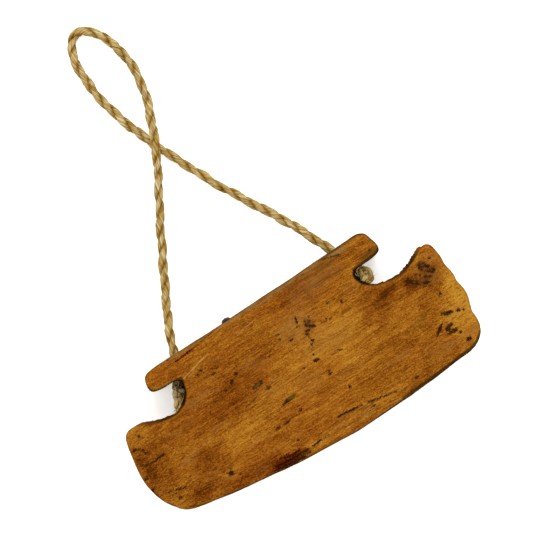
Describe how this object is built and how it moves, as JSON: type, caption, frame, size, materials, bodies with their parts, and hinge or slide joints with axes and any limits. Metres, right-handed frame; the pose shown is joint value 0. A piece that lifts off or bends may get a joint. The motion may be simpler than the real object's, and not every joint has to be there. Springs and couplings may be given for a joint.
{
  "type": "carved wooden animal bell",
  "caption": "Hand-carved wide wooden animal bell with hooked horns, a hollow body, hinged wooden clappers and a twisted jute hanging loop.",
  "frame": {"origin": "under the middle of the bell body, on the surface it rests on, lying on its back", "axes": "+X along the top bar, +Y from the mouth towards the bar and the rope loop, +Z out of the front face"},
  "size_m": [0.248, 0.3296, 0.058],
  "materials": {
    "carved_wood": "waxed, worn and stained",
    "clapper_wood": "old and dry",
    "jute": "fibrous",
    "iron_wire": "dark and rusty"
  },
  "bodies": {
    "bell": {"bell_body": "carved_wood", "rope": "jute", "left_knot": "jute", "right_knot": "jute", "left_hanger": "iron_wire", "right_hanger": "iron_wire"},
    "left_link": {"left_link": "iron_wire"},
    "left_clapper": {"left_clapper": "clapper_wood"},
    "right_link": {"right_link": "iron_wire"},
    "right_clapper": {"right_clapper": "clapper_wood"}
  },
  "joints": [
    {"name": "left_swing", "type": "hinge", "parent": "bell", "child": "left_link", "pos_m": [-0.022, 0.0174, 0.016], "axis": [-1, 0, 0], "range_deg": [0, 22]},
    {"name": "left_sway", "type": "hinge", "parent": "left_link", "child": "left_clapper", "pos_m": [-0.022, 0.0089, 0.016], "axis": [0, 0, 1], "range_deg": [-8, 8]},
    {"name": "right_swing", "type": "hinge", "parent": "bell", "child": "right_link", "pos_m": [0.022, 0.0174, 0.016], "axis": [-1, 0, 0], "range_deg": [0, 22]},
    {"name": "right_sway", "type": "hinge", "parent": "right_link", "child": "right_clapper", "pos_m": [0.022, 0.0089, 0.016], "axis": [0, 0, 1], "range_deg": [-8, 8]}
  ]
}
